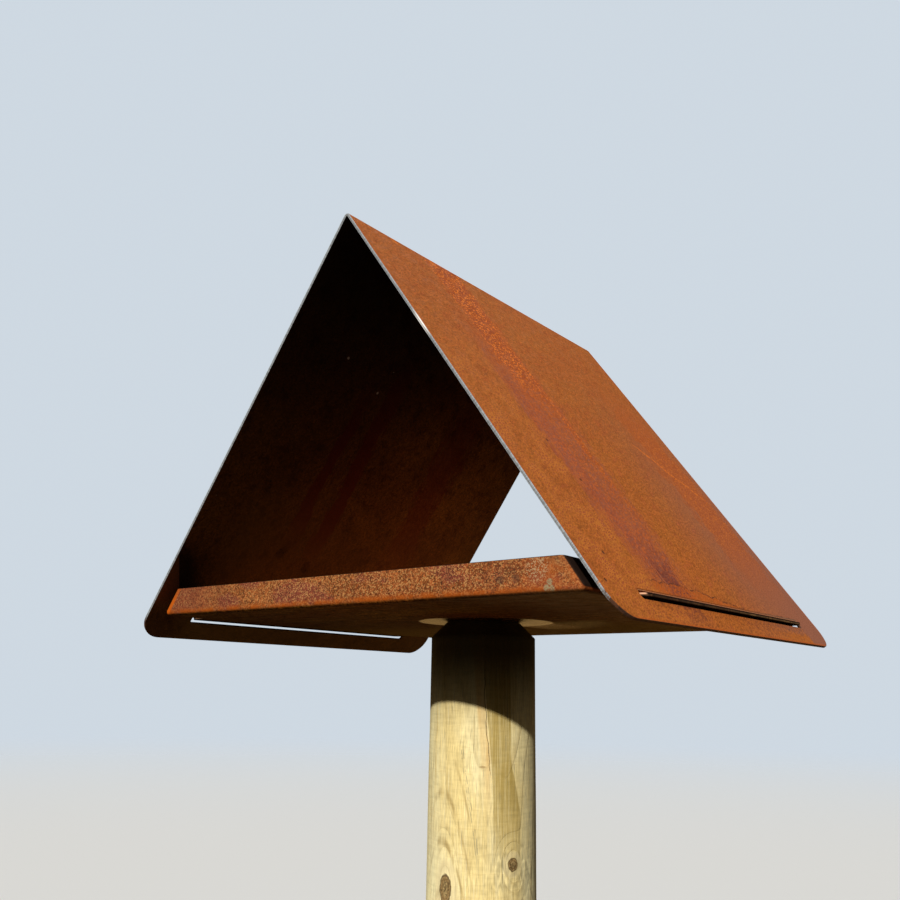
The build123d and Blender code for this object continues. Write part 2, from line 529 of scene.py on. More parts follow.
# Three pairs of black blobs on the left flank, where drops dried, and a few pale droppings.
blob_places = [
    (-0.218, -0.1195, -sheet), (-0.2145, -0.1200, -sheet), (-0.2695, -0.0730, -sheet),
    (-0.2730, -0.0745, -sheet), (-0.2805, -0.0410, -sheet), (-0.2840, -0.0415, -sheet),
]
blob = times(spots(at, blob_places, 0.0045), ramp(skin["Height"], 0.3, 0.6, 0.9, 0.3))
tone = paint(tone, (0.012, 0.005, 0.004), blob)
droppings = spots(at, [(-0.098, -0.105, -sheet), (-0.116, -0.060, -sheet)], 0.0012)
few = use_group(scattered_pits, at, 0.045, 0.0007)
pale = most(droppings, times(few["Pit"], 0.6))
tone = paint(tone, (0.45, 0.38, 0.32), pale)
finish(tone, skin["Roughness"], skin["Height"], 0.0002)

# The ends of the roof were cut last and are still bare: fine ridges across the edge where the
# beam went through, dull where it came out, and a painted glint part way down the right flank's
# ends. The lower edges and the slots have rusted and are painted near black, partly as their
# shade; the upper face of each slot is painted a lighter orange brown.
cut_edge, tree, shader = new_material("bare cut edge", {"Specular IOR Level": 0.4})
at = place_on_blank()
x, across, z = axes(at)
down = size_of(x)
depth = maths("DIVIDE", z, -sheet)
ridges = mottle(at, 1500.0, 1.0, 0.5, (1, 1, 0.15))
tone = paint((0.38, 0.41, 0.43), (0.22, 0.24, 0.25), ramp(ridges, 0.4, 0.6))
# Painted glint on the bare edge.
painted_glint = times(band(down, 0.119, 0.136, 0.008), ramp(x, 0.0, 0.001))
tone = paint(tone, (0.95, 0.93, 0.88), painted_glint)
tone = paint(tone, (0.13, 0.12, 0.11), band(depth, 0.45, 0.75, 0.12), 0.7)
along = size_of(across)
at_end = ramp(along, roof_half_depth - 0.006, roof_half_depth - 0.001)
low_down = ramp(down, 0.33, 0.352, 0.0, 0.25)
creep = ramp(plus(mottle(at, 60.0, 4.0, 0.65), low_down), 0.62, 0.72)
rusted = most(creep, minus(1.0, at_end))
# Rust and painted shade on the lower edges and the slots: near black.
edge_rust_and_shade = paint((0.11, 0.040, 0.015), (0.03, 0.013, 0.008), grains(at, 500.0))
tone = paint(tone, edge_rust_and_shade, rusted)
slot_roof = band(down, slot_top - 0.0006, slot_top + 0.0006, 0.0002)
tone = paint(tone, (0.72, 0.32, 0.15), rusted, slot_roof)
finish(tone, ramp(rusted, 0.0, 1.0, 0.45, 0.85), ridges, 0.00003)

slot_outlines = [
    round_rectangle(
        slot_width, 2 * slot_half_length, slot_corner_radius,
        (side * (slot_top + slot_width / 2), 0),
    )
    for side in (-1, 1)
]
roof_outline = round_rectangle(2 * flank_length, 2 * roof_half_depth, roof_corner_radius, steps=16)
ridge_reach = bend_outer_radius * math.tan(roof_slope)  # sharp ridge line to the end of the bend


def shape_roof(down, across, out):
    """Folds the flat blank at the ridge and stands it up like a tent."""
    lean = np.clip(down / ridge_reach, -1, 1) * roof_slope
    beyond = np.maximum(np.abs(down) - ridge_reach, 0)
    radius = bend_outer_radius + out
    x = radius * np.sin(lean) + np.sign(down) * beyond * math.cos(roof_slope)
    fall = bend_outer_radius / math.cos(roof_slope) + beyond * math.sin(roof_slope)
    return x, across, ridge_z - fall + radius * np.cos(lean)


ridge_scores = [((1, 0, 0), ridge_reach * step / 6) for step in range(-6, 7)]
roof_blank = cut_blank([roof_outline] + slot_outlines, ridge_scores)
roof = sheet_piece("roof_sheet", roof_blank, shape_roof, [roof_outside, roof_inside, cut_edge])
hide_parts("roof")


# The tray: a second sheet of the same steel. Its edges are folded up into a lip at each end and,
# by the corners, into short sides that lean with the roof; the corners are welded shut. Between
# the sides a long tab reaches out through each slot of the roof. Screws hold it to the post.

tray_low, tray_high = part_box("tray")
tray_half_depth = tray_high.y
lip_height = tray_high.z - tray_low.z
relief_gap = 0.0008  # slit between a side and the tab next to it
slot_end_gap = 0.0025  # end of a slot to the side of its tab
tab_half_length = slot_half_length - slot_end_gap
tab_reach = 0.0025  # how far a tab stands out of the roof, at its underside
tab_corner_radius = 0.006
side_gap = 0.0105  # level gap between a side of the tray and the inside of the roof
screw_spacing = 0.026
screw_hole_radius = 0.00325

roof_inner_half = tray_high.x - tab_reach - sheet / math.sin(roof_slope)  # at the underside
side_foot = roof_inner_half - side_gap  # sharp fold line of a side, at the underside
floor_half_x = side_foot - bend_outer_radius / math.tan(roof_slope / 2)
floor_half_y = tray_half_depth - bend_outer_radius
bend_span = 0.006  # what a bend takes of the flat blank
wall_span = 0.023  # what a bend and the lip or side above it take
bend_steps = 8
bend_rows = [bend_span * step / bend_steps for step in range(bend_steps + 1)]


def tray_outline():
    """Anticlockwise round the blank without its corners, starting at the right tab."""
    quarter = []
    steps = 8
    for step in range(steps + 1):
        angle = math.pi / 2 * step / steps
        x = tray_high.x - tab_corner_radius * (1 - math.cos(angle))
        y = tab_half_length - tab_corner_radius * (1 - math.sin(angle))
        quarter.append((x, y))
    quarter += [
        (floor_half_x, tab_half_length),
        (floor_half_x, tab_half_length + relief_gap),
        (floor_half_x + wall_span, tab_half_length + relief_gap),
        (floor_half_x + wall_span, floor_half_y),
        (floor_half_x, floor_half_y),
        (floor_half_x, floor_half_y + wall_span),
    ]
    right = [(x, -y) for x, y in reversed(quarter)] + quarter
    left = [(-x, -y) for x, y in right]
    return right + left


def add_corner(blank, side, end):
    """The closed corner between a lip and a side, as a fan on the flat blank."""
    rows = []
    ribs = 10
    angles = [math.pi / 2 * rib / ribs for rib in range(ribs + 1)]
    for reach in bend_rows + [wall_span]:
        rows.append([
            blank.verts.new((
                side * (floor_half_x + reach * math.cos(angle)),
                end * (floor_half_y + reach * math.sin(angle)),
                0,
            ))
            for angle in angles
        ])
    for inner, outer in zip(rows, rows[1:]):
        for rib in range(ribs):
            blank.faces.new((inner[rib], outer[rib], outer[rib + 1], inner[rib + 1]))


turns = [math.tau * step / 32 for step in range(32)]
screw_holes = [
    [
        (
            side * screw_spacing / 2 + screw_hole_radius * math.cos(turn),
            end * screw_spacing / 2 + screw_hole_radius * math.sin(turn),
        )
        for turn in turns
    ]
    for side in (-1, 1) for end in (-1, 1)
]


def shape_tray(across, along, out):
    """Folds the lips and the sides up. The outer face of the flat blank is the underside."""
    on_tab = np.abs(along) < tab_half_length + relief_gap / 2
    beyond_x = np.where(on_tab, 0, np.maximum(np.abs(across) - floor_half_x, 0))
    beyond_y = np.maximum(np.abs(along) - floor_half_y, 0)
    reach = np.hypot(beyond_x, beyond_y)
    corner = np.arctan2(beyond_y, beyond_x)
    wall_x = np.cos(corner) * math.sin(roof_slope)
    wall_y = np.sin(corner)
    wall_z = np.cos(corner) * math.cos(roof_slope)
    turn = np.arccos(-wall_z)
    bent = turn * np.clip(reach / bend_span, 0, 1)
    wall_share = np.sin(bent) / np.sin(turn)
    floor_share = np.sin(turn - bent) / np.sin(turn)
    radius = bend_outer_radius + out
    rise = np.clip((reach - bend_span) / (wall_span - bend_span), 0, 1)
    rise = rise * (lip_height - radius * wall_z - bend_outer_radius)
    level_x = np.clip(across, -floor_half_x, floor_half_x)
    level_x = np.where(on_tab, across, level_x * (1 - rise / math.tan(roof_slope) / floor_half_x))
    level_y = np.clip(along, -floor_half_y, floor_half_y)
    x = level_x + np.sign(across) * radius * wall_share * wall_x
    y = level_y + np.sign(along) * radius * wall_share * wall_y
    z = bend_outer_radius + rise + radius * (wall_share * wall_z - floor_share)
    return x, y, tray_low.z + z


# The outer face of the lips and sides: rust in redder and greener zones, broken into fine chips
# of tan and burnt scale that thin out towards the left.
tray_outside, tree, shader = new_material("tray outer rust", {"Specular IOR Level": 0.05})
at = place_in_object()
x, y, z = axes(at)
aside = size_of(x)
up_lip = minus(z, tray_low.z)
skin = use_group(
    rust_skin, at, (0.25, 0.068, 0.018), (0.33, 0.106, 0.028), (0.14, 0.038, 0.014), 0.55,
)
lip_tone = skin["Color"]
zone = mottle(at, 26.0, 3.0, 0.55, (1, 1, 1.8), (7, 0, 0))
lip_tone = paint(lip_tone, (0.20, 0.045, 0.030), ramp(zone, 0.48, 0.36, 0.0, 0.75))
lip_tone = paint(lip_tone, (0.20, 0.12, 0.050), ramp(zone, 0.54, 0.66, 0.0, 0.65))
lip_tone = paint(lip_tone, (0.23, 0.055, 0.032), ramp(x, -0.10, -0.16, 0.0, 0.6))
blister = mottle(at, 70.0, 4.0, 0.65, shift=(3, 0, 0))
chip = grains(at, 1500.0, shift=(1, 4, 2))
rightwards = ramp(x, -0.16, -0.02, 0.65, 1.0)
tan_chips = times(ramp(chip, 0.62, 0.82), ramp(blister, 0.25, 0.6, 0.4, 1.0), rightwards)
lip_tone = paint(lip_tone, (0.56, 0.29, 0.10), tan_chips, 0.65)
burnt_chips = times(ramp(chip, 0.32, 0.16), ramp(blister, 0.7, 0.4, 0.4, 1.0), rightwards)
lip_tone = paint(lip_tone, (0.05, 0.024, 0.014), burnt_chips, 0.7)


def on_front_lip(places):
    """Places on the outer face of the front lip, from their distance right and height."""
    return [(right, -tray_half_depth, tray_low.z + up) for right, up in places]


# Two dark spots. Orange rust along the fold, near the right end, and brightest at both corners,
# where the lip's end leans with the roof.
dark_spots = spots(at, on_front_lip([(0.132, 0.009), (0.142, 0.009)]), 0.0028)
lip_tone = paint(lip_tone, (0.08, 0.035, 0.02), dark_spots, 0.6)
lean_line = scaled(up_lip, 1 / math.tan(roof_slope), aside)
smooth_end = times(ramp(lean_line, side_foot - 0.0065, side_foot - 0.0035), 0.45)
left_end = ramp(lean_line, side_foot - 0.0074, side_foot - 0.0058)
left_end = times(left_end, ramp(x, 0.001, -0.001), ramp(up_lip, 0.020, 0.008, 0.45, 0.95))
near_end = times(ramp(x, 0.135, 0.165), ramp(blister, 0.35, 0.6), 0.7)
near_fold = times(ramp(up_lip, 0.006, 0.0022), ramp(blister, 0.3, 0.55))
orange = most(smooth_end, most(near_end, near_fold))
orange = times(orange, ramp(chip, 0.0, 0.35, 0.6, 0.9))
lip_tone = paint(lip_tone, (0.36, 0.075, 0.007), orange)
lip_tone = shade(lip_tone, ramp(x, -0.19, -0.04, 0.0, 0.5), 0.3)
lip_tone = paint(lip_tone, (0.50, 0.100, 0.007), left_end)

# At the right end a bleached patch and three bare spots. The right side is painted near black
# as the painted shadow of the roof.
bleach_and_painted_light = times(spots(at, on_front_lip([(0.156, 0.014)]), 0.008), ramp(chip, 0.50, 0.70), 0.5)
lip_tone = paint(lip_tone, (0.42, 0.33, 0.19), bleach_and_painted_light)
bare_places = on_front_lip([(0.1620, 0.0028), (0.1652, 0.0024), (0.1640, 0.0060)])
bare = times(spots(at, bare_places, 0.0020), ramp(chip, 0.1, 0.5, 0.3, 1.0))
lip_tone = paint(lip_tone, (0.30, 0.27, 0.15), bare, 0.85)
# Painted shadow of the roof on the tray's right side.
painted_roof_shadow = ramp(lean_line, side_foot - 0.0013, side_foot - 0.0005)
lip_tone = paint(lip_tone, (0.020, 0.009, 0.005), painted_roof_shadow, ramp(x, 0.0, 0.001))

# The underside kept its dark mill skin, brushed from side to side and darker to the left. A warm
# painted reflection lies towards the back and a brighter one beside the post, on its right. The
# tabs are painted dark as the roof's shade.
under_skin = use_group(
    rust_skin, at, (0.11, 0.034, 0.006), (0.17, 0.075, 0.010), (0.045, 0.012, 0.003), 0.9,
)
under_tone = shade(under_skin["Color"], ramp(x, -0.19, 0.03, 0.0, 0.5), 1.1)
under_tone = shade(under_tone, mottle(at, 130.0, 3.0, 0.6, (0.10, 1, 1), (2, 0, 0)), 2.2)
front_right = times(ramp(x, 0.02, 0.10), ramp(y, 0.0, -0.05), 0.6)
under_tone = paint(under_tone, (0.05, 0.018, 0.003), front_right)
reflection_grain = ramp(chip, 0.15, 0.85, 0.3, 1.0)
# Painted reflection of warm light towards the back.
under_tone = paint(under_tone, (0.33, 0.185, 0.036), ramp(y, -0.035, 0.10), reflection_grain)
level = vectors("MULTIPLY", at, (1, 1, 0))
from_axis = length_of(level)
from_axis = plus(from_axis, ramp(x, 0.0, 0.05, 0.0, -0.004))
# Painted reflection beside the post.
painted_glow_beside_post = times(ramp(from_axis, 0.100, 0.074), ramp(x, 0.0, 0.006))
painted_glow_beside_post = times(painted_glow_beside_post, ramp(y, 0.005, 0.04), reflection_grain)
under_tone = paint(under_tone, (0.80, 0.52, 0.20), painted_glow_beside_post)
on_tab = ramp(aside, roof_inner_half - 0.012, roof_inner_half - 0.004)
under_tone = paint(under_tone, (0.010, 0.004, 0.002), on_tab)
tone = paint(under_tone, lip_tone, ramp(up_lip, 0.0006, 0.0020))

# Round the post, and in a strip behind it, the underside is rubbed smooth and shines at a low
# angle. The far right shines a little too, and the rest is matt. The shader's own level stays
# for a model that can't carry one that varies.
wiped = times(ramp(y, -0.01, 0.13, 0.7, 0.0), ramp(x, 0.0455, 0.0400))
wiped = times(wiped, ramp(chip, 0.1, 0.7, 0.6, 1.0), ramp(x, 0.0, 0.01), ramp(y, -0.02, -0.01))
rubbed_radius = 0.050
rubbed = most(ramp(from_axis, rubbed_radius + 0.002, rubbed_radius - 0.002), wiped)
rubbed = times(rubbed, ramp(up_lip, 0.0020, 0.0006))
sheen = times(ramp(x, 0.07, 0.18, 0.02, 0.16), ramp(on_tab, 0.0, 1.0, 1.0, 0.0))
sheen = most(sheen, times(rubbed, 0.5))
plug(shader, {"Specular IOR Level": sheen})
roughness = times(skin["Roughness"], ramp(rubbed, 0.0, 1.0, 1.0, 0.25))
finish(tone, roughness, times(skin["Height"], ramp(rubbed, 0.0, 1.0, 1.0, 0.5)), 0.0003)

# The inside holds feed and puddles, which leave rings of dark stain.
tray_inside, tree, shader = new_material("tray inner rust", {"Specular IOR Level": 0.12})
at = place_in_object()
skin = use_group(
    rust_skin, at, (0.20, 0.068, 0.025), (0.31, 0.12, 0.045), (0.09, 0.03, 0.016), 0.5,
)
puddle = mottle(at, 18.0, 4.0, 0.55)
tone = paint(skin["Color"], rust_dark, band(puddle, 0.50, 0.54, 0.01), 0.6)
finish(tone, skin["Roughness"], skin["Height"], 0.0003)

# The cut edges are nearly black, with a worn ochre line along the middle and a glint at the
# front corner of the right tab.
tray_edge, tree, shader = new_material("rusted cut edge", {"Specular IOR Level": 0.15})
at = place_in_object()
x, y, z = axes(at)
up_edge = minus(z, tray_low.z)
worn = ramp(mottle(at, 90.0, 4.0, 0.65), 0.4, 0.65)
worn_line = times(band(up_edge, 0.0004, 0.0012, 0.0003), ramp(worn, 0.0, 1.0, 0.5, 1.0))
ochre = paint((0.12, 0.06, 0.028), (0.32, 0.18, 0.07), ramp(y, -0.1, 0.12))
tone = paint((0.016, 0.007, 0.004), ochre, worn_line)
tone = shade(tone, grains(at, 600.0), 0.7)
glint = times(ramp(y, -0.1218, -0.1232), ramp(x, 0.19, 0.20))
glint = times(glint, band(up_edge, 0.0011, 0.0020, 0.0003))
tone = paint(tone, (0.85, 0.46, 0.27), glint)
finish(tone, ramp(worn, 0.0, 1.0, 0.85, 0.6), worn, 0.0001)

tray_scores = [
    (direction, half + row)
    for half, directions in [
        (floor_half_x, [(1, 0, 0), (-1, 0, 0)]),
        (floor_half_y, [(0, 1, 0), (0, -1, 0)]),
    ]
    for direction in directions for row in bend_rows
]
tray_blank = cut_blank([tray_outline()] + screw_holes, tray_scores)
for side in (-1, 1):
    for end in (-1, 1):
        add_corner(tray_blank, side, end)
bmesh.ops.remove_doubles(tray_blank, verts=tray_blank.verts[:], dist=0.00001)
tray = sheet_piece("tray_sheet", tray_blank, shape_tray, [tray_outside, tray_inside, tray_edge])
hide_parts("tray")


# The post: a round garden post of treated pine, peeled and turned to 80 mm, with its head
# chamfered. It has dried, so cracks run down it, and knots stand a hair proud.

post_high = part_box("post")[1]
post_radius = post_high.x
post_height = post_high.z
post_chamfer = 0.012
skim = 0.0002  # depth of the hollows that the peeling knives left
foot_bevel = 0.003
blunt = 0.0006  # worn off the corner of the head
knot_rise = 0.0003
knot_moat = 0.0002  # depth of the hollow round a knot

# Each crack as its course from low to high, its depth and its half width. A course is given in
# heights over the head, which are negative, and angles in degrees from the front to the right.
crack_paths = [
    (
        [(-0.118, 47.0), (-0.110, 46.0), (-0.092, 43.0), (-0.057, 39.0), (-0.026, 38.0)],
        0.0016, 0.00026,
    ),
    ([(-0.42, 152.0), (-0.30, 149.0), (-0.16, 146.0), (-0.012, 147.0)], 0.006, 0.0011),
    ([(-0.75, -96.0), (-0.52, -92.0), (-0.33, -94.0), (-0.20, -91.0)], 0.005, 0.0008),
    ([(-1.10, 20.0), (-0.90, 17.0), (-0.66, 19.0), (-0.45, 16.0)], 0.005, 0.0009),
    ([(-0.98, -160.0), (-0.70, -157.0), (-0.40, -161.0), (-0.12, -158.0)], 0.005, 0.0008),
]
# Each knot as its angle, its distance below the head, its half width and its half height
knots = [
    (70.0, 0.167, 0.0040, 0.0044),
    (-2.0, 0.184, 0.0052, 0.0100),
    (-128.0, 0.240, 0.0060, 0.0085),
    (160.0, 0.455, 0.0055, 0.0090),
    (48.0, 0.520, 0.0065, 0.0095),
    (-60.0, 0.560, 0.0045, 0.0070),
    (-150.0, 0.840, 0.0060, 0.0090),
    (95.0, 0.880, 0.0055, 0.0085),
    (-20.0, 0.905, 0.0060, 0.0100),
]


def column_angles():
    """Angles of the post's upright rows of points: even, with closer ones at the cracks."""
    angles = list(np.arange(-180.0, 180.0, 2.5))
    across_crack = (-4, -2.5, -1.5, -1, -0.5, 0, 0.5, 1, 1.5, 2.5, 4)  # in half widths
    for path, _, half_width in crack_paths:
        middle = np.mean([angle for _, angle in path])
        step = math.degrees(half_width / post_radius)
        angles = [angle for angle in angles if abs(angle - middle) > 5.5 * step]
        angles += [middle + step * count for count in across_crack]
    return np.sort(np.array(angles))


def post_surface(angles, heights):
    """Points of the turned face of the post, with its cracks, knots and knife marks."""
    angle, height = np.meshgrid(angles, heights)
    radius = np.full(angle.shape, post_radius - skim)
    follow = angle.copy()
    below = height - post_height
    for path, depth, half_width in crack_paths:
        path_heights = [point[0] for point in path]
        path_angles = [point[1] for point in path]
        middle = np.mean(path_angles)
        ripple = 0.5 * np.sin(below * 260) + 0.35 * np.sin(below * 610 + middle)
        course = np.interp(below, path_heights, path_angles) - middle + ripple
        near = np.clip(1 - np.abs(angle - middle) / 14, 0, 1)  # rows within 14 degrees follow
        follow += course * near * near * (3 - 2 * near)
        gap = np.abs(angle - middle) * math.radians(1) * post_radius
        low, high = path_heights[0], path_heights[-1]
        share = np.clip((below - low) / (high - low), 0, 1)
        opening = np.minimum(1, 6 * share) * np.clip(share / 0.02, 0, 1)
        if high < -post_chamfer:
            opening *= np.minimum(1, 6 * (1 - share))
        groove = np.clip(1 - gap / (half_width * (0.35 + 0.65 * opening)), 0, 1)
        radius -= depth * opening * groove
    turn = np.radians(follow)
    for knot_angle, knot_below, half_width, half_height in knots:
        apart = (turn - math.radians(knot_angle) + math.pi) % math.tau - math.pi
        across = apart * post_radius / half_width
        up = (below + knot_below) / half_height
        away = np.sqrt(across * across + up * up)
        radius += knot_rise * np.exp(-away * away / 2)
        radius -= knot_moat * np.exp(-((away - 1.6) ** 2) * 3)
    for row in range(angle.shape[0]):
        for column in range(angle.shape[1]):
            around = turn[row, column]
            point = (math.sin(around) * 2.6, -math.cos(around) * 2.6, height[row, column] * 22)
            radius[row, column] += skim * wander.noise(point)
    return turn, np.minimum(radius, post_radius)


def post_mesh():
    """The whole post as rings of points, closer together over its top 330 mm."""
    angles = column_angles()
    fine = np.arange(post_height - 0.33, post_height - post_chamfer + 1e-6, 0.003)
    coarse = np.arange(0.012, post_height - 0.335, 0.0075)
    heights = np.concatenate([[0.004], coarse, fine[:-1], [post_height - post_chamfer]])
    turn, radius = post_surface(angles, heights)
    rows = []

    def ring(around, out, height):
        rows.append(np.stack([out * np.sin(around), -out * np.cos(around), height + 0 * out], 1))

    foot = radius[0] - foot_bevel
    for share in (0.25, 0.55, 0.85):
        ring(turn[0], foot * share, 0.0)
    ring(turn[0], foot, 0.0)
    for row, height in enumerate(heights):
        ring(turn[row], radius[row], height)
    top_turn, top_radius = turn[-1], radius[-1]
    for share in (0.12, 0.3, 0.5, 0.7, 0.88):
        ring(top_turn, top_radius - post_chamfer * share, post_height - post_chamfer * (1 - share))
    head = top_radius - post_chamfer
    ring(top_turn, head + blunt, post_height - blunt)
    ring(top_turn, head - blunt, post_height)
    for share in (0.85, 0.6, 0.35, 0.15):
        ring(top_turn, head * share, post_height)
    points = np.concatenate(rows)
    count = len(angles)
    faces = []
    for row in range(len(rows) - 1):
        for column in range(count):
            beside = (column + 1) % count
            faces.append((
                row * count + column, row * count + beside,
                (row + 1) * count + beside, (row + 1) * count + column,
            ))
    last = len(points)
    points = np.concatenate([points, [[0, 0, 0.0], [0, 0, post_height]]])
    for column in range(count):
        beside = (column + 1) % count
        faces.append((beside, column, last))
        top = (len(rows) - 1) * count
        faces.append((top + column, top + beside, last + 1))
    mesh = bpy.data.meshes.new("post")
    mesh.from_pydata(points.tolist(), [], faces)
    mesh.shade_smooth()
    return mesh


def from_surface(at, angle, below, half_width, half_height):
    """Distance from a place on the turned face, in shares of a half width and half height."""
    around = math.radians(angle)
    spot = (post_radius * math.sin(around), -post_radius * math.cos(around), post_height - below)
    apart = vectors("SUBTRACT", at, spot)
    shrink = (1 / half_width, 1 / half_width, 1 / half_height)
    return length_of(vectors("MULTIPLY", apart, shrink))


pine = (0.84, 0.665, 0.290)
pine_pale = (0.94, 0.81, 0.44)
pine_line = (0.42, 0.295, 0.105)
pine_green = (0.41, 0.28, 0.060)
pine_grey = (0.30, 0.26, 0.15)

post_wood, tree, shader = new_material("treated pine", {"Specular IOR Level": 0.08})
at = place_in_object()
x, y, z = axes(at)
angle = times(maths("ARCTAN2", x, times(y, -1.0)), 180 / math.pi)
head_below = minus(post_height, z)

# Growth rings are measured from a pith that wanders, and swell round each knot.
pith_x = scaled(mottle(at, 3.0, 2.0, 0.5, (0, 0, 1)), 0.030, -0.012)
pith = wire("CombineXYZ", {"X": pith_x, "Y": -0.006})
level = vectors("MULTIPLY", at, (1, 1, 0))
spoke = wire("VectorMath", {0: level, 1: pith}, output="Value", operation="DISTANCE")
swell = mottle(at, 22.0, 2.0, 0.5, (1, 1, 0.16))
spoke = plus(spoke, times(swell, 0.014), times(z, -0.008))
ringed = spoke
for knot_angle, knot_below, half_width, half_height in knots:
    distance = from_surface(at, knot_angle, knot_below, half_width * 4.2, half_height * 7)
    bulge = maths("POWER", ramp(distance, 1.0, 0.0), 1.5)
    ringed = plus(ringed, times(bulge, 0.010))
ring_width = 0.0030
year = maths("FRACT", times(ringed, 1 / ring_width))
late_wood = times(ramp(year, 0.45, 0.93), ramp(year, 1.0, 0.95))

# Fibres run straight down: fine ones, coarser ones, and short grey dashes among them.
fibre = mottle(at, 900.0, 3.0, 0.6, (1, 1, 0.03))
soft_fibre = mottle(at, 260.0, 3.0, 0.55, (1, 1, 0.05))
hairs = mottle(at, 1500.0, 2.0, 0.6, (1, 1, 0.08))
cloud = mottle(at, 30.0, 3.0, 0.5, (1, 1, 0.35))
tone = paint(pine, pine_pale, ramp(cloud, 0.35, 0.65))
tone = paint(tone, pine_line, times(late_wood, ramp(soft_fibre, 0.35, 0.6, 0.25, 0.75)), 0.5)
tone = paint(tone, pine_line, ramp(fibre, 0.54, 0.72, 0.0, 0.36))
tone = paint(tone, (0.90, 0.80, 0.50), ramp(fibre, 0.46, 0.30, 0.0, 0.45))
tone = shade(tone, hairs, 0.9)

# Where the knives cut through the year rings they show as tall arches, one under another.
arch_top, arch_spacing, arch_bend = 0.101, 0.033, -0.000048
leaning = plus(angle, 8.0)
uneven = scaled(swell, 0.012, -0.006)
arch = plus(head_below, times(leaning, leaning, arch_bend), uneven)
arch = maths("FRACT", times(minus(arch, arch_top), 1 / arch_spacing))
arch_zone = times(band(leaning, -30.0, 34.0, 8.0), ramp(head_below, 0.09, 0.12))
arches = times(band(arch, 0.52, 0.68, 0.07), arch_zone, ramp(soft_fibre, 0.35, 0.6))
tone = paint(tone, pine_line, arches, 0.75)

# The olive band right of the first crack, spreading below, where the treatment soaked deeper,
# and the paler orange wood on the crack's other side.
band_left = ramp(head_below, 0.02, 0.13, 37.5, 48.0)
band_right = ramp(head_below, 0.09, 0.14, 67.0, 80.0)
edge_wobble = scaled(soft_fibre, 6.0, -3.0)
green_angle = plus(angle, edge_wobble)
past_crack = ramp(head_below, 0.112, 0.135)
right_of_crack = plus(minus(angle, band_left), times(edge_wobble, past_crack, 1.5))
right_of_crack = ramp(right_of_crack, -0.5, 0.5)
left_of_edge = ramp(minus(band_right, green_angle), -0.7, 0.7)
in_band = times(right_of_crack, left_of_edge, ramp(head_below, 0.20, 0.11))
tone = paint(tone, pine_green, in_band, ramp(fibre, 0.35, 0.6, 0.55, 0.85))
beside_crack = times(band(minus(band_left, angle), 1.0, 10.0, 2.0), ramp(head_below, 0.15, 0.09))
tone = paint(tone, (0.78, 0.50, 0.18), beside_crack, ramp(soft_fibre, 0.3, 0.6, 0.4, 0.7))

# Blotches of the treatment. Both sides are painted paler as painted light, and the side turned
# away from the key lamp is painted grey as painted shade.
patches = mottle(at, 9.0, 3.0, 0.5, (1, 1, 0.4), (4, 2, 0))
tone = paint(tone, pine_green, ramp(patches, 0.5, 0.68, 0.0, 0.35))
# Painted light on both sides of the post.
bleach_and_painted_light = most(ramp(angle, 0.0, -40.0), ramp(angle, 75.0, 105.0, 0.0, 0.7))
tone = paint(tone, (0.97, 0.88, 0.52), bleach_and_painted_light, ramp(fibre, 0.7, 0.4))
# Painted shade on the side turned away from the key lamp.
painted_shade_turned_away = ramp(size_of(minus(angle, 20.0)), 90.0, 130.0)
tone = paint(tone, pine_grey, painted_shade_turned_away, 0.30)

# Wild curly grain lies beside the first knot. Peeling marks run round the post as faint short
# ridges, and a double row of grey dashes wanders down from the head.
curl_zone = from_surface(at, 74.0, 0.190, 0.030, 0.045)
curl_zone = times(ramp(curl_zone, 1.0, 0.6), ramp(cloud, 0.35, 0.55, 0.4, 1.0))
curls = mottle(at, 75.0, 3.0, 0.55, (1, 1, 0.35), (3, 3, 0))
curls = maths("PINGPONG", times(curls, 16.0), 1.0)
tone = shade(tone, curls, curl_zone, 0.55)
peel = mottle(at, 420.0, 2.0, 0.5, (0.16, 0.16, 1))
tone = shade(tone, peel, 0.45)
tone = paint(tone, pine_line, ramp(peel, 0.60, 0.74, 0.0, 0.25))
grey_dashes = mottle(at, 700.0, 2.0, 0.5, (1, 1, 0.10), (0, 0, 5))
tone = paint(tone, pine_grey, ramp(grey_dashes, 0.60, 0.74, 0.0, 0.5))
row_angle = ramp(head_below, 0.080, 0.170, 15.0, 32.5)
off_row = size_of(minus(size_of(minus(angle, row_angle)), 1.1))
broken = ramp(mottle(at, 330.0, 2.0, 0.5, (1, 1, 0.6)), 0.45, 0.55)
row = times(ramp(off_row, 0.7, 0.3), band(head_below, 0.085, 0.165, 0.006), broken)
tone = paint(tone, pine_grey, row, 0.6)
scar = from_surface(at, 37.0, 0.103, 0.0026, 0.0009)
tone = paint(tone, (0.32, 0.18, 0.06), ramp(scar, 1.3, 0.5, 0.0, 0.6))

# A knot has a pale halo, a dark core in rings and a darker rim, all a little crooked.
crooked = mottle(at, 260.0, 2.0, 0.5)
core_grains = grains(at, 900.0)
for knot_angle, knot_below, half_width, half_height in knots:
    distance = from_surface(at, knot_angle, knot_below, half_width, half_height)
    distance = scaled(crooked, 0.4, minus(distance, 0.2))
    tone = paint(tone, (0.80, 0.66, 0.36), band(distance, 1.05, 1.9, 0.25), 0.5)
    rings = maths("PINGPONG", times(distance, 3.2), 1.0)
    core = paint((0.20, 0.120, 0.045), (0.36, 0.250, 0.105), rings)
    tone = paint(tone, shade(core, core_grains, 0.9), ramp(distance, 1.05, 0.9))
    tone = paint(tone, (0.08, 0.042, 0.018), band(distance, 0.85, 1.02, 0.06), 0.75)

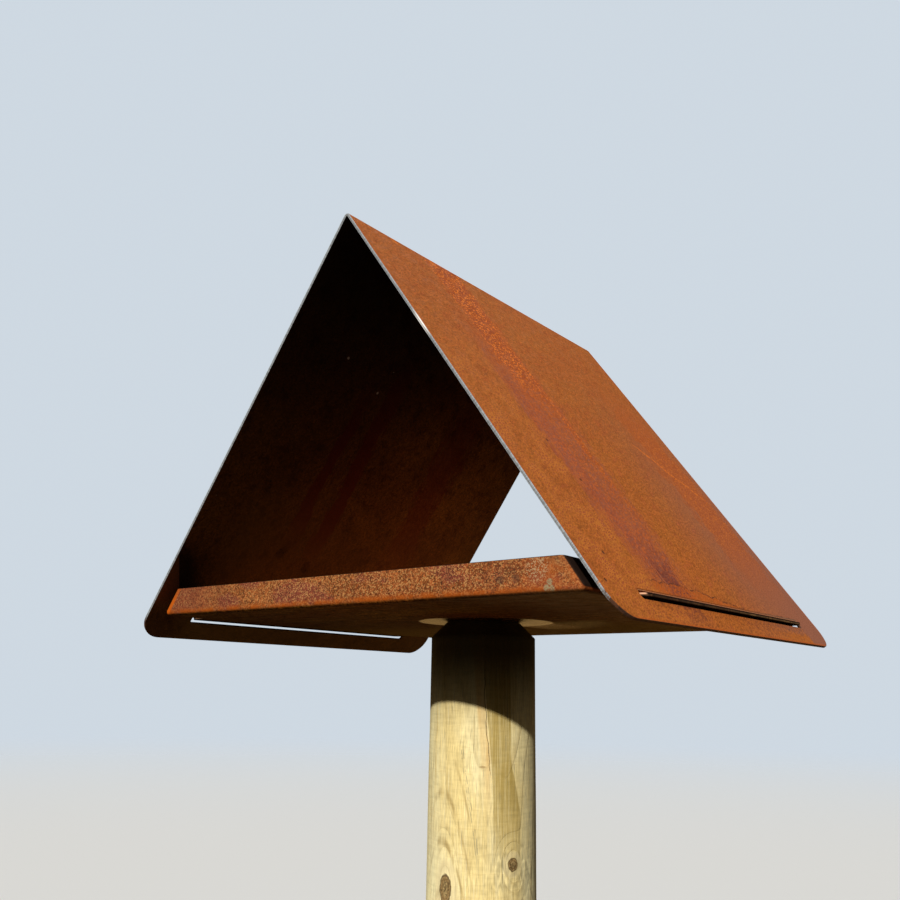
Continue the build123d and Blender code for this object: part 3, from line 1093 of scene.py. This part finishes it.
# Dirt and damp darken the wood at its foot. Under the tray the head is painted dark as the
# tray's shadow, and inside the cracks as painted shade.
painted_tray_shadow = ramp(head_below, 0.020, 0.086, 0.97, 0.0)
tone = paint(tone, (0.034, 0.024, 0.009), painted_tray_shadow)
damp = ramp(plus(z, times(cloud, -0.10)), 0.05, -0.04)
tone = paint(tone, (0.16, 0.13, 0.06), damp, 0.7)
out_from_axis = length_of(level)
on_side = ramp(head_below, post_chamfer * 0.8, post_chamfer * 1.2)
# Painted shade inside the cracks.
in_crack = ramp(out_from_axis, post_radius - 0.0007, post_radius - 0.0013)
tone = paint(tone, (0.05, 0.035, 0.02), in_crack, on_side)
relief = scaled(peel, 0.6, scaled(late_wood, 0.5, fibre))
finish(tone, ramp(cloud, 0.3, 0.7, 0.62, 0.8), relief, 0.00025)

post = place_object("post_pine", post_mesh())
post.data.materials.append(post_wood)
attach(post, "root")
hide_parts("post")


# The fixings: four hexagon-headed coach screws, each on a washer, zinc-plated steel. They go
# down through the tray into bores in the head of the post.

zinc, tree, shader = new_material("dulled zinc", {"Metallic": 1.0})
at = place_in_object()
dull_patches = mottle(at, 420.0, 4.0, 0.6)
tone = paint((0.52, 0.52, 0.50), (0.34, 0.34, 0.33), ramp(dull_patches, 0.4, 0.6))
rusted = ramp(mottle(at, 230.0, 4.0, 0.65, shift=(2, 5, 1)), 0.56, 0.66)
tone = paint(tone, (0.28, 0.10, 0.035), rusted, 0.8)
plug(shader, {"Metallic": ramp(rusted, 0.0, 1.0, 1.0, 0.1)})
finish(tone, ramp(dull_patches, 0.3, 0.7, 0.32, 0.6), dull_patches, 0.00004)

for name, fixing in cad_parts.items():
    if name.startswith(("screw", "washer")):
        fixing.data.materials.clear()
        fixing.data.materials.append(zinc)
        joined = fixing.modifiers.new("corners joined", "WELD")
        joined.merge_threshold = 0.00001
        softened = fixing.modifiers.new("pressed edges", "BEVEL")
        softened.width = 0.0003
        softened.segments = 2
        softened.angle_limit = math.radians(25)


# The studio: a pale floor that fades into the backdrop, one lamp from the front right and a
# weaker one behind, and the camera where the photograph was taken. Shiny surfaces see a warm
# brown below them.

backdrop = (0.62, 0.69, 0.76)
floor_radius = 30.0

floor_mesh = bpy.data.meshes.new("floor")
floor_shape = bmesh.new()
bmesh.ops.create_circle(floor_shape, cap_ends=True, radius=floor_radius, segments=96)
floor_shape.to_mesh(floor_mesh)
floor_shape.free()
floor = place_object("floor", floor_mesh)

floor_paper, tree, shader = new_material("floor paper", {"Roughness": 0.9, "Specular IOR Level": 0.1})
at = place_in_object()
from_post = length_of(at)
rays = wire("LightPath", {}).node.outputs
floor_tone = paint((0.075, 0.06, 0.04), (0.43, 0.25, 0.08), rays["Is Glossy Ray"])
floor_tone = paint(floor_tone, (0.78, 0.78, 0.76), rays["Is Camera Ray"])
plug(shader, {"Base Color": floor_tone})
fade = {0: ramp(from_post, 5.0, 22.0), 1: shader.outputs[0], 2: wire("BsdfTransparent", {})}
plug(tree.nodes["Material Output"], {"Surface": wire("MixShader", fade)})
floor_mesh.materials.append(floor_paper)

world = bpy.data.worlds.new("studio")
bpy.context.scene.world = world
world.use_nodes = True
tree = world.node_tree
rays = wire("LightPath", {}).node.outputs
upwards = axes(wire("TexCoord", {}, output="Generated"))[2]
rise = ramp(upwards, -0.05, 1.0, 0.15, 0.60)
fill = times(rise, rise)
fill = wire("CombineColor", {"Red": fill, "Green": fill, "Blue": fill})
fill = paint(fill, (0.30, 0.175, 0.055), ramp(upwards, 0.01, -0.01), rays["Is Glossy Ray"])
seen = paint(fill, backdrop, rays["Is Camera Ray"])
plug(tree.nodes["Background"], {"Color": seen, "Strength": 1.0})


def sun_lamp(name, azimuth, elevation, strength, angle, tint):
    """A far lamp. Azimuth is from the front towards the right, in degrees."""
    light = bpy.data.lights.new(name, "SUN")
    light.energy = strength
    light.angle = math.radians(angle)
    light.color = tint
    lamp = place_object(name, light)
    around = math.radians(azimuth)
    up = math.radians(elevation)
    towards = Vector((
        math.sin(around) * math.cos(up), -math.cos(around) * math.cos(up), math.sin(up),
    ))
    lamp.matrix_world = towards.to_track_quat("Z", "Y").to_matrix().to_4x4()


sun_lamp("key", 20.0, 25.2, 3.7, 1.2, (1.0, 0.97, 0.92))
sun_lamp("back_fill", 215.0, 50.0, 0.7, 40.0, (0.93, 0.96, 1.0))

camera_place = (0.424738, -0.568654, 1.150181)
camera_turn = math.radians(39.051)
camera_tilt = math.radians(104.837)  # from looking straight down
camera_roll = math.radians(1.069)
camera_data = bpy.data.cameras.new("camera")
camera_data.lens = 35.984
camera_data.sensor_width = 36.0
camera_data.clip_end = 200.0
camera = place_object("camera", camera_data)
camera.matrix_world = (
    Matrix.Translation(camera_place)
    @ Matrix.Rotation(camera_turn, 4, "Z")
    @ Matrix.Rotation(camera_tilt, 4, "X")
    @ Matrix.Rotation(camera_roll, 4, "Z")
)
bpy.context.scene.camera = camera
bpy.context.scene.view_settings.view_transform = "Standard"
